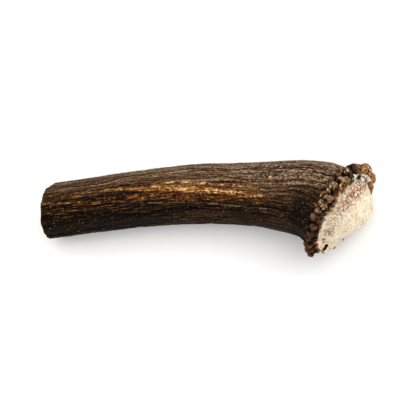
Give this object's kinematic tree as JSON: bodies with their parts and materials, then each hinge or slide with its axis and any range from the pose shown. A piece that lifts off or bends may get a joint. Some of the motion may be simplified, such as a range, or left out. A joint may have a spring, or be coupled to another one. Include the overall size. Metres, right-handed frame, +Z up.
{
  "type": "deer antler",
  "caption": "Base of a shed deer antler: a slightly curved, furrowed beam sawn off at one end, with a knobbly burr and domed pale seal at the other.",
  "frame": {"origin": "centre of the footprint box at the lowest point, on the surface it lies on", "axes": "+X along the beam from the sawn end to the burr, +Z up as it lies on its side"},
  "size_m": [0.2178, 0.064, 0.0653],
  "materials": {
    "antler": "matt, furrowed brown antler with a pale bone seal"
  },
  "bodies": {
    "root": {"antler": "antler"}
  },
  "joints": []
}
